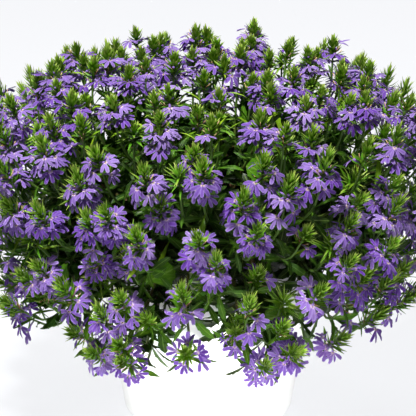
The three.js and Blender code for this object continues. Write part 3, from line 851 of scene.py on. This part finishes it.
# Bract tufts
# Each shoot ends in an upright tuft of narrow bracts in a close spiral: the low ones stand out and
# curve up, the high ones are packed round the tip. They are the plant's freshest green, broader and
# closer in the crown, and longer and arching on shoots that bear leaves alone.
BRACTS = 46
BRACT_SEED = 7
BRACT_LENGTH = 0.0130
BRACT_HALF_WIDTH = 0.0009
BRACT_THICKNESS = 0.0006
BRACT_FOLD = 0.45
BRACT_TURN = 1.3
BRACT_TURN_SCATTER = 0.15
BRACT_HEIGHTS = [(0.0, -0.005), (0.22, 0.001), (0.3, 0.004), (1.0, 0.0172)]
BRACT_LEANS = [(0, 76), (0.22, 60), (0.3, 52), (0.7, 40), (0.92, 24), (1, 6)]
BRACT_LEAN_SCATTER = 9
BRACT_SIZES = [(0, 1.1), (0.25, 1.1), (0.7, 1.0), (1, 0.85)]
BRACT_SIZE_SHARES = (0.85, 1.15)
BRACT_BENDS = (0.25, 0.95)
BRACT_TINTS = [(0, 0.25), (0.4, 0.75), (1, 1.0)]
BRACT_TINT_SCATTER = 0.15
BRACT_OUTLINE = [(0.0, 0.0, 0.6), (0.5, 0.5, 1.0), (0.985, 1.0, 0.1)]
CROWN_HEIGHTS = [(0.31, 0), (0.355, 1)]
CROWN_SPREAD = 0.3
CROWN_LOWERING = 0.22
CROWN_SHORTENING = 0.05
HEAD_SIZE_SHARES = (0.9, 1.08)
TUFT_SIZE = 1.3
CROWN_TUFT_SIZE = 1.0
FILLER_SIZE = 0.92
LEAFY_TUFT_SIZE = 0.7
LEAFY_BRACT_SIZES = [(0, 1.9), (0.6, 1.6), (1, 1.0)]
LEAFY_ARCHING_SHARE = 0.75
LEAFY_ARCH = -0.8
LEAFY_BRACT_WIDTH = 0.8


def bract_material():
    """Bract: soft fresh green that lets much light through, yellower towards its tip. The tip is also paled
    as a painted sheen, and the foot is darkened as painted shade deep in the tuft.
    """
    material, add = new_material("fresh green bract")
    flat = add("UVMap", uv_map="blade")
    along = add("SeparateXYZ", {"Vector": flat}).outputs["Y"]
    tint = add("Attribute", attribute_name="tint").outputs["Fac"]
    # The fresh ramp is yellower at the tip, which is also paled as a painted sheen. It is darker at the
    # foot as painted shade deep in the tuft.
    fresh = add("ValToRGB", {"Fac": along}, [(0.0, "#23520a"), (0.45, "#679a16"), (1.0, "#bfcc66")])
    old = add("ValToRGB", {"Fac": along}, [(0.0, "#5c4218"), (0.3, "#26660a"), (1.0, "#529a14")])
    green = add("Mix", {"Factor": tint, 6: old, 7: fresh}, data_type="RGBA")
    plant_shader(add, green, 0.45, shine=0.2, glow="#9cc020", share=0.25)
    return material


axis = head_axis[:, None]


def round_heads(turn):
    """Unit vectors square to the heads' axes at turns round them, one row for each head."""
    return round_stem(axis, head_across[:, None], turn)


def up_heads(height):
    """Points on the heads' axes at heights over the collars, one row for each head."""
    return head_centre[:, None] + axis * height[..., None]


draw = np.random.default_rng(BRACT_SEED)
shape = (HEADS, BRACTS)
bract_order = np.arange(BRACTS)
rank = bract_order / (BRACTS - 1)
crown = graph(CROWN_HEIGHTS, head_height)[:, None]
on_bare = bare[:, None]
bract_turn = GOLDEN_TURN * bract_order + BRACT_TURN * head_serial
bract_out = round_heads(bract_turn + draw.normal(0, BRACT_TURN_SCATTER, shape))
bract_lean = graph(BRACT_LEANS, rank) * (1 + CROWN_SPREAD * crown)
bract_lean = np.radians(bract_lean + draw.normal(0, BRACT_LEAN_SCATTER, shape))
bract_size = graph(BRACT_SIZES, rank) * draw.uniform(*BRACT_SIZE_SHARES, shape)
head_size = np.where(head_kind == "clustered", 1.0, FILLER_SIZE)
head_size = head_size * draw.uniform(*HEAD_SIZE_SHARES, HEADS)
head_size = np.where(bare, LEAFY_TUFT_SIZE * head_size, head_size)[:, None]
tuft_size = head_size * (TUFT_SIZE - (TUFT_SIZE - CROWN_TUFT_SIZE) * crown)
bract_height = graph(BRACT_HEIGHTS, rank) * tuft_size * (1 - CROWN_LOWERING * crown)
bract_bend = bract_lean * draw.uniform(*BRACT_BENDS, shape)
bract_bend = np.where(on_bare & (rank < LEAFY_ARCHING_SHARE), LEAFY_ARCH * bract_bend, bract_bend)
bract_size = bract_size * tuft_size * (1 - CROWN_SHORTENING * crown)
bract_size = bract_size * np.where(on_bare, graph(LEAFY_BRACT_SIZES, rank), 1.0)
bract_width = (1 + crown) * np.where(on_bare, LEAFY_BRACT_WIDTH, 1.0) * bract_size
bract_tint = graph(BRACT_TINTS, rank) + draw.normal(0, BRACT_TINT_SCATTER, shape)
bracts = {
    "root": up_heads(bract_height),
    "forward": towards(axis, bract_out, bract_lean),
    "normal": towards(-bract_out, axis, bract_lean),
    "length": BRACT_LENGTH * bract_size,
    "width": BRACT_HALF_WIDTH * bract_width,
    "bend": bract_bend,
    "fold": np.full(shape, BRACT_FOLD),
    "twist": np.zeros(shape),
    "tint": np.clip(bract_tint, 0, 1),
}
bract_pattern = blade_pattern(BRACT_OUTLINE)
bract_skin = bract_material()
for stem in range(STEM_COUNT):
    groups = [(bract_pattern, bracts, (head_stem == stem)[:, None])]
    replaced = numbered("leafy_stem", stem)
    blade_piece(numbered("bract_tufts", stem), groups, BRACT_THICKNESS, 0, bract_skin, replaced)


# Spent styles
# Where a flower has fallen, its thin style stays on the shoot a while. It dries reddish brown and
# stands out between the tuft and the flowers that are still open.
SPENT_STYLES = 5
SPENT_SEED = 11
SPENT_LENGTH = 0.0105
SPENT_SIZE_SHARES = (0.7, 1.2)
SPENT_TURNS = (0, 7)
SPENT_RISES = (0, 50)
SPENT_HEIGHTS = (-0.009, 0.003)
SPENT_RADII = [0.00045, 0.0003, 0.0004]
SPENT_BOW = 0.4


def spent_material():
    """Dry style: dull reddish brown, straw-coloured at its tip."""
    material, add = new_material("dry brown style")
    along = add("Attribute", attribute_name="along").outputs["Fac"]
    colour = add("ValToRGB", {"Fac": along}, [(0.0, "#7a3f35"), (0.6, "#a0604a"), (1.0, "#cdb07c")])
    skin = add("BsdfPrincipled", {"Base Color": colour, "Roughness": 0.7})
    add("OutputMaterial", {"Surface": skin})
    return material


def bowed(root, reach, bow, share, hump):
    """Paths that leave their roots by shares of a reach, and bow off that line by the hump's shares
    of a bow."""
    return root[..., None, :] + reach[..., None, :] * share[:, None] + bow[..., None, :] * hump[:, None]


draw = np.random.default_rng(SPENT_SEED)
shape = (HEADS, SPENT_STYLES)
spent_out = round_heads(GOLDEN_TURN * np.arange(SPENT_STYLES) + draw.uniform(*SPENT_TURNS, shape))
spent_way = towards(spent_out, axis, np.radians(draw.uniform(*SPENT_RISES, shape)))
spent_root = up_heads(draw.uniform(*SPENT_HEIGHTS, shape))
spent_length = (SPENT_LENGTH * head_size * draw.uniform(*SPENT_SIZE_SHARES, shape))[..., None]
spent_bow = spent_length * SPENT_BOW * axis
spent_share = np.linspace(0, 1, len(SPENT_RADII))
spent_path = bowed(spent_root, spent_length * spent_way, spent_bow, spent_share, spent_share**2)
spent_skin = spent_material()
for stem in range(STEM_COUNT):
    parts = [tubes(spent_path[(head_stem == stem) & ~bare], SPENT_RADII, 3)]
    tube_piece(numbered("spent_styles", stem), parts, spent_skin, numbered("leafy_stem", stem))


# Flowers
# A flower is a slit tube whose five petals all turn to the outer side, like an open fan. A petal has
# a narrow foot, a darker line along its middle and thin, paler wings that end in a notched tip. Up
# to ten flowers, with a few buds, stand round a shoot under its tuft and droop outward.
FLOWERS = 10
FLOWER_SEED = 3
OPEN_SHARE = (0.72, 0.98)
SPENT_SHARE = 0.15
FLOWERING = [(0.17, 0.30), (0.21, 0.50), (0.25, 0.95), (0.31, 0.95), (0.345, 0.48), (0.37, 0.20)]
THINNING = [(0.12, 0.5), (0.17, 0.58), (0.21, 0.8), (0.25, 1.06), (0.31, 1.06), (0.345, 0.9), (0.37, 0.84)]
FLOWER_TURN = 0.9
FLOWER_TURN_SCATTER = 0.15
FLOWER_TOP = 0.001
FLOWER_DROP = 0.013
FLOWER_DROP_POWER = 1.5
FLOWER_DROP_SHIFTS = (-0.002, 0.002)
FLOWER_SIZE_SHARES = (0.88, 1.12)
FLOWER_TINTS = (0.36, 0.18)
FLOWER_TINT_SCATTER = 0.22
FAN_DROOP = 12
FAN_DROOP_SCATTER = 15
LOW_FAN_DROOP = 6
UPRIGHT_FAN_DROOP = 34
CROWN_FAN_LIFT = 8
CROWN_UPRIGHT_LIFT = 12
TUBE_LENGTH = 0.0112
TUBE_RISES = [(0, 32), (1, 2)]
TUBE_RISE_SCATTER = 11
TUBE_SHARES = np.array([0.0, 0.55, 1.0])
TUBE_RADII = [(0, 0.0009), (0.7, 0.0013), (1, 0.0017)]
TUBE_BOW = 0.0012
PETALS = 5
PETAL_LENGTH = 0.0130
PETAL_HALF_WIDTH = 0.0021
PETAL_THICKNESS = 0.0005
PETAL_INSET = 0.0006
PETAL_SPREAD = math.radians(36)
PETAL_TURN_SCATTER = 0.07
PETAL_RAISES = (0.12, 0.1)
PETAL_LENGTH_SHARES = (0.9, 1.08)
PETAL_WIDTH_SHARES = (0.85, 1.1)
PETAL_BENDS = (0.25, 0.95)
PETAL_FOLDS = (-0.05, 0.35)
PETAL_TWIST_SCATTER = 0.3
PETAL_TINT_SCATTER = 0.08
PETAL_RUFFLE = 0.15
PETAL_OUTLINE = [(0, 0, 0.3), (0.22, 0.22, 0.56), (0.56, 0.56, 0.98), (0.87, 0.83, 0.86), (1, 0.92, 0.3)]
PETAL_VEIN_STRETCH = (26.0, 1.5, 1.0)
DEEP_VIOLETS = [(0.0, "#d9b25a"), (0.07, "#cfb6b2"), (0.17, "#633896"), (0.8, "#5e3793"), (1.0, "#6e4c9e")]
PALE_VIOLETS = [(0.0, "#e0c070"), (0.09, "#d9c6cc"), (0.22, "#9a80bc"), (0.8, "#927ab4"), (1.0, "#ac9cc6")]
STYLE_LENGTH = 0.0052
STYLE_RADII = [0.0003, 0.0003, 0.0006]
STYLE_BOW = 0.35
BUDS = 3
BUD_TURNS = (2.2, 1.7)
BUD_TURN_SCATTER = 0.3
BUD_RISES = (25, 60)
BUD_SIZE_SHARES = (0.7, 1.1)
BUD_LENGTH = 0.0085
BUD_RADII = [0.0006, 0.0009, 0.0015, 0.0012]
BUD_DROOP = 0.35
BUD_HEIGHT = 0.002
BUD_SPACING = 0.0025


def petal_material():
    """Petal: velvety and thin, violet with a cream foot, a darker middle line, fine veins along it
    and paler wings."""
    material, add = new_material("velvety violet petal")
    flat, off_middle, along, tint = blade_sockets(add)
    deep = add("ValToRGB", {"Fac": along}, DEEP_VIOLETS)
    pale = add("ValToRGB", {"Fac": along}, PALE_VIOLETS)
    violet = add("Mix", {"Factor": tint, 6: deep, 7: pale}, data_type="RGBA")
    stretched = add("VectorMath", {0: flat, 1: PETAL_VEIN_STRETCH}, operation="MULTIPLY")
    streaks = add("TexNoise", {"Vector": stretched, "Scale": 1.0, "Detail": 2.0})
    near_middle = {"Value": off_middle, "From Min": 0.03, "From Max": 0.13, "To Min": 0.45, "To Max": 0.0}
    line = add("MapRange", near_middle)
    strongest = {"Value": streaks, "From Min": 0.52, "From Max": 0.7, "To Min": 0.0, "To Max": 0.35}
    veins = add("MapRange", strongest)
    dark = add("Math", {0: line, 1: veins}, operation="MAXIMUM")
    lined = add("Mix", {"Factor": dark, 6: violet, 7: "#4a2c80"}, data_type="RGBA")
    outer = {"Value": off_middle, "From Min": 0.25, "From Max": 0.5, "To Min": 0.0, "To Max": 0.4}
    wings = add("MapRange", outer)
    winged = add("Mix", {"Factor": wings, 6: lined, 7: "#a896ca"}, data_type="RGBA")
    plant_shader(add, winged, 0.6, shine=0.12, glow="#8450c8", share=0.2)
    return material


def tube_material():
    """Outside of flower tubes, buds and styles: matt with fine hairs, green at the foot, then a
    greyed lilac that deepens to violet."""
    material, add = new_material("hairy flower tube")
    along = add("Attribute", attribute_name="along").outputs["Fac"]
    colours = [(0.0, "#6c7f3e"), (0.3, "#8f84a0"), (0.7, "#8668b4"), (1.0, "#8e70bb")]
    colour = add("ValToRGB", {"Fac": along}, colours)
    plant_shader(add, colour, 0.7, shine=0.12, glow="#a88bd0", share=0.2)
    return material


draw = np.random.default_rng(FLOWER_SEED)
shape = (HEADS, FLOWERS)
flower_order = np.arange(FLOWERS)
flowering = np.where((head_kind == "clustered") | hangs, 1, graph(FLOWERING, head_height))
in_flower = (draw.random(HEADS) < flowering) & ~bare
thinned = np.where(hangs, 1.0, graph(THINNING, head_height))
share_open = np.where(in_flower, draw.uniform(*OPEN_SHARE, HEADS) * thinned, SPENT_SHARE)
open_flower = (draw.random(shape) < share_open[:, None]) & ~on_bare
level = flower_order / (FLOWERS - 1)
flower_turn = GOLDEN_TURN * flower_order + FLOWER_TURN * head_serial
flower_out = round_heads(flower_turn + draw.normal(0, FLOWER_TURN_SCATTER, shape))
flower_height = FLOWER_TOP - FLOWER_DROP * level**FLOWER_DROP_POWER
flower_root = up_heads(flower_height + draw.uniform(*FLOWER_DROP_SHIFTS, shape))
tube_rise = np.radians(graph(TUBE_RISES, level) + draw.normal(0, TUBE_RISE_SCATTER, shape))
tube_way = towards(flower_out, axis, tube_rise)
flower_size = head_size * draw.uniform(*FLOWER_SIZE_SHARES, shape)
throat = flower_root + tube_way * (TUBE_LENGTH * flower_size)[..., None]
low_droop = LOW_FAN_DROOP + (UPRIGHT_FAN_DROOP - CROWN_UPRIGHT_LIFT * crown) * head_axis[:, 2:] ** 2
droop = FAN_DROOP - CROWN_FAN_LIFT * crown + low_droop * level
droop = np.radians(droop + draw.normal(0, FAN_DROOP_SCATTER, shape))
fan_out = towards(flower_out, -axis, droop)
fan_normal = towards(axis, flower_out, droop)
flower_tint = draw.normal(*FLOWER_TINTS, (HEADS, 1)) + draw.normal(0, FLOWER_TINT_SCATTER, shape)

petal_shape = (HEADS, FLOWERS, PETALS)
petal_turn = (np.arange(PETALS) - PETALS // 2) * PETAL_SPREAD
petal_turn = petal_turn + draw.normal(0, PETAL_TURN_SCATTER, petal_shape)
petal_out = towards(fan_out[:, :, None], np.cross(axis, flower_out)[:, :, None], petal_turn)
petal_raise = draw.normal(*PETAL_RAISES, petal_shape)
petal_size = flower_size[..., None] * np.ones(PETALS)
petals = {
    "root": throat[:, :, None] + PETAL_INSET * petal_out,
    "forward": towards(petal_out, fan_normal[:, :, None], petal_raise),
    "normal": towards(fan_normal[:, :, None], -petal_out, petal_raise),
    "length": PETAL_LENGTH * petal_size * draw.uniform(*PETAL_LENGTH_SHARES, petal_shape),
    "width": PETAL_HALF_WIDTH * petal_size * draw.uniform(*PETAL_WIDTH_SHARES, petal_shape),
    "bend": -draw.uniform(*PETAL_BENDS, petal_shape),
    "fold": draw.uniform(*PETAL_FOLDS, petal_shape),
    "twist": draw.normal(0, PETAL_TWIST_SCATTER, petal_shape),
    "tint": np.clip(flower_tint[..., None] + draw.normal(0, PETAL_TINT_SCATTER, petal_shape), 0, 1),
}

half_wave = np.sin(math.pi * TUBE_SHARES)
tube_path = bowed(flower_root, throat - flower_root, TUBE_BOW * axis, TUBE_SHARES, half_wave)
style_share = np.linspace(0, 1, len(STYLE_RADII))
style_bow = STYLE_LENGTH * STYLE_BOW * fan_normal
style_path = bowed(throat, STYLE_LENGTH * tube_way, style_bow, style_share, np.sin(math.pi * style_share))
bud_shape = (HEADS, BUDS)
bud_order = np.arange(BUDS)
bud_turn = BUD_TURNS[0] * bud_order + BUD_TURNS[1] * head_serial
bud_out = round_heads(bud_turn + draw.normal(0, BUD_TURN_SCATTER, bud_shape))
bud_way = towards(bud_out, axis, np.radians(draw.uniform(*BUD_RISES, bud_shape)))
bud_root = up_heads(BUD_HEIGHT + BUD_SPACING * bud_order)
bud_length = (BUD_LENGTH * head_size * draw.uniform(*BUD_SIZE_SHARES, bud_shape))[..., None]
bud_share = np.linspace(0, 1, len(BUD_RADII))
bud_path = bowed(bud_root, bud_length * bud_way, -BUD_DROOP * bud_length * axis, bud_share, bud_share**2)
petal_pattern = blade_pattern(PETAL_OUTLINE)
petal_skin = petal_material()
tube_skin = tube_material()
for cluster in range(len(cluster_middle)):
    replaced = numbered("flower_heads", cluster)
    own = (head_cluster == cluster)[:, None] & open_flower
    name, groups = numbered("petals", cluster), [(petal_pattern, petals, own[..., None])]
    blade_piece(name, groups, PETAL_THICKNESS, PETAL_RUFFLE, petal_skin, replaced)
    parts = [tubes(tube_path[own], graph(TUBE_RADII, TUBE_SHARES), 4)]
    parts += [tubes(style_path[own], STYLE_RADII, 3)]
    parts += [tubes(bud_path[(head_cluster == cluster) & in_flower], BUD_RADII, 5)]
    tube_piece(numbered("flower_tubes", cluster), parts, tube_skin, replaced)


# Stage
# The plant stands on lit studio paper. The main lamp is high above its front left, and weaker ones
# are at its back, its front right and low in front of the pot. The camera looks 18 degrees down.
CAMERA_RISE = math.radians(18)
CAMERA_DISTANCE = 2.5
CAMERA_AIM = (0.0, 0.0, 0.220)
METRES_PER_PIXEL = 0.00106
IMAGE_WIDTH = 416
SENSOR_WIDTH = 36
FLOOR_HALF = 8.0
STUDIO_WHITE = "#f6f7fa"
FLOOR_GLOW = 0.93
SKY_GLOW = 0.03


def soft_lamp(name, place, aim, size, power, spread=180):
    """A square area lamp that faces a point, with its beam's spread in degrees."""
    data = bpy.data.lights.new(name, "AREA")
    data.size = size
    data.energy = power
    data.spread = math.radians(spread)
    lamp = bpy.data.objects.new(name, data)
    lamp.location = place
    toward = np.array(aim) - np.array(place)
    level = math.hypot(toward[0], toward[1])
    lamp.rotation_euler = (math.atan2(level, -toward[2]), 0, math.atan2(-toward[0], toward[1]))
    bpy.context.scene.collection.objects.link(lamp)


floor_corners = FLOOR_HALF * np.array([(-1, -1, 0), (1, -1, 0), (1, 1, 0), (-1, 1, 0)])
floor = new_object("floor", floor_corners, [np.array([(0, 1, 2, 3)])])
floor_material, add = new_material("pale studio paper")
glow = {"Emission Color": STUDIO_WHITE, "Emission Strength": FLOOR_GLOW}
paper = add("BsdfPrincipled", {"Base Color": "#454648", "Roughness": 0.95, **glow})
add("OutputMaterial", {"Surface": paper})
floor.data.materials.append(floor_material)

world = bpy.data.worlds.new("studio light")
world.use_nodes = True
world.node_tree.nodes.clear()
sky = add_node(world.node_tree, "Background", {"Color": STUDIO_WHITE, "Strength": SKY_GLOW})
add_node(world.node_tree, "OutputWorld", {"Surface": sky})
bpy.context.scene.world = world

soft_lamp("key_lamp", (-0.5, -0.8, 2.5), CAMERA_AIM, 0.28, 130)
soft_lamp("fill_lamp", (0.9, -2.0, 1.0), CAMERA_AIM, 1.0, 5)
soft_lamp("back_lamp", (0.3, 1.3, 1.7), CAMERA_AIM, 0.8, 18)
soft_lamp("pot_lamp", (0.0, -1.7, 0.06), (0.0, 0.0, 0.03), 0.3, 0.7, 14)

camera_data = bpy.data.cameras.new("camera")
camera_data.sensor_width = SENSOR_WIDTH
camera_data.lens = SENSOR_WIDTH * CAMERA_DISTANCE / (METRES_PER_PIXEL * IMAGE_WIDTH)
camera = bpy.data.objects.new("camera", camera_data)
back = np.array([0.0, -math.cos(CAMERA_RISE), math.sin(CAMERA_RISE)])
camera.location = np.array(CAMERA_AIM) + CAMERA_DISTANCE * back
camera.rotation_euler = (math.pi / 2 - CAMERA_RISE, 0, 0)
bpy.context.scene.collection.objects.link(camera)
bpy.context.scene.camera = camera
bpy.context.scene.view_settings.view_transform = "Standard"
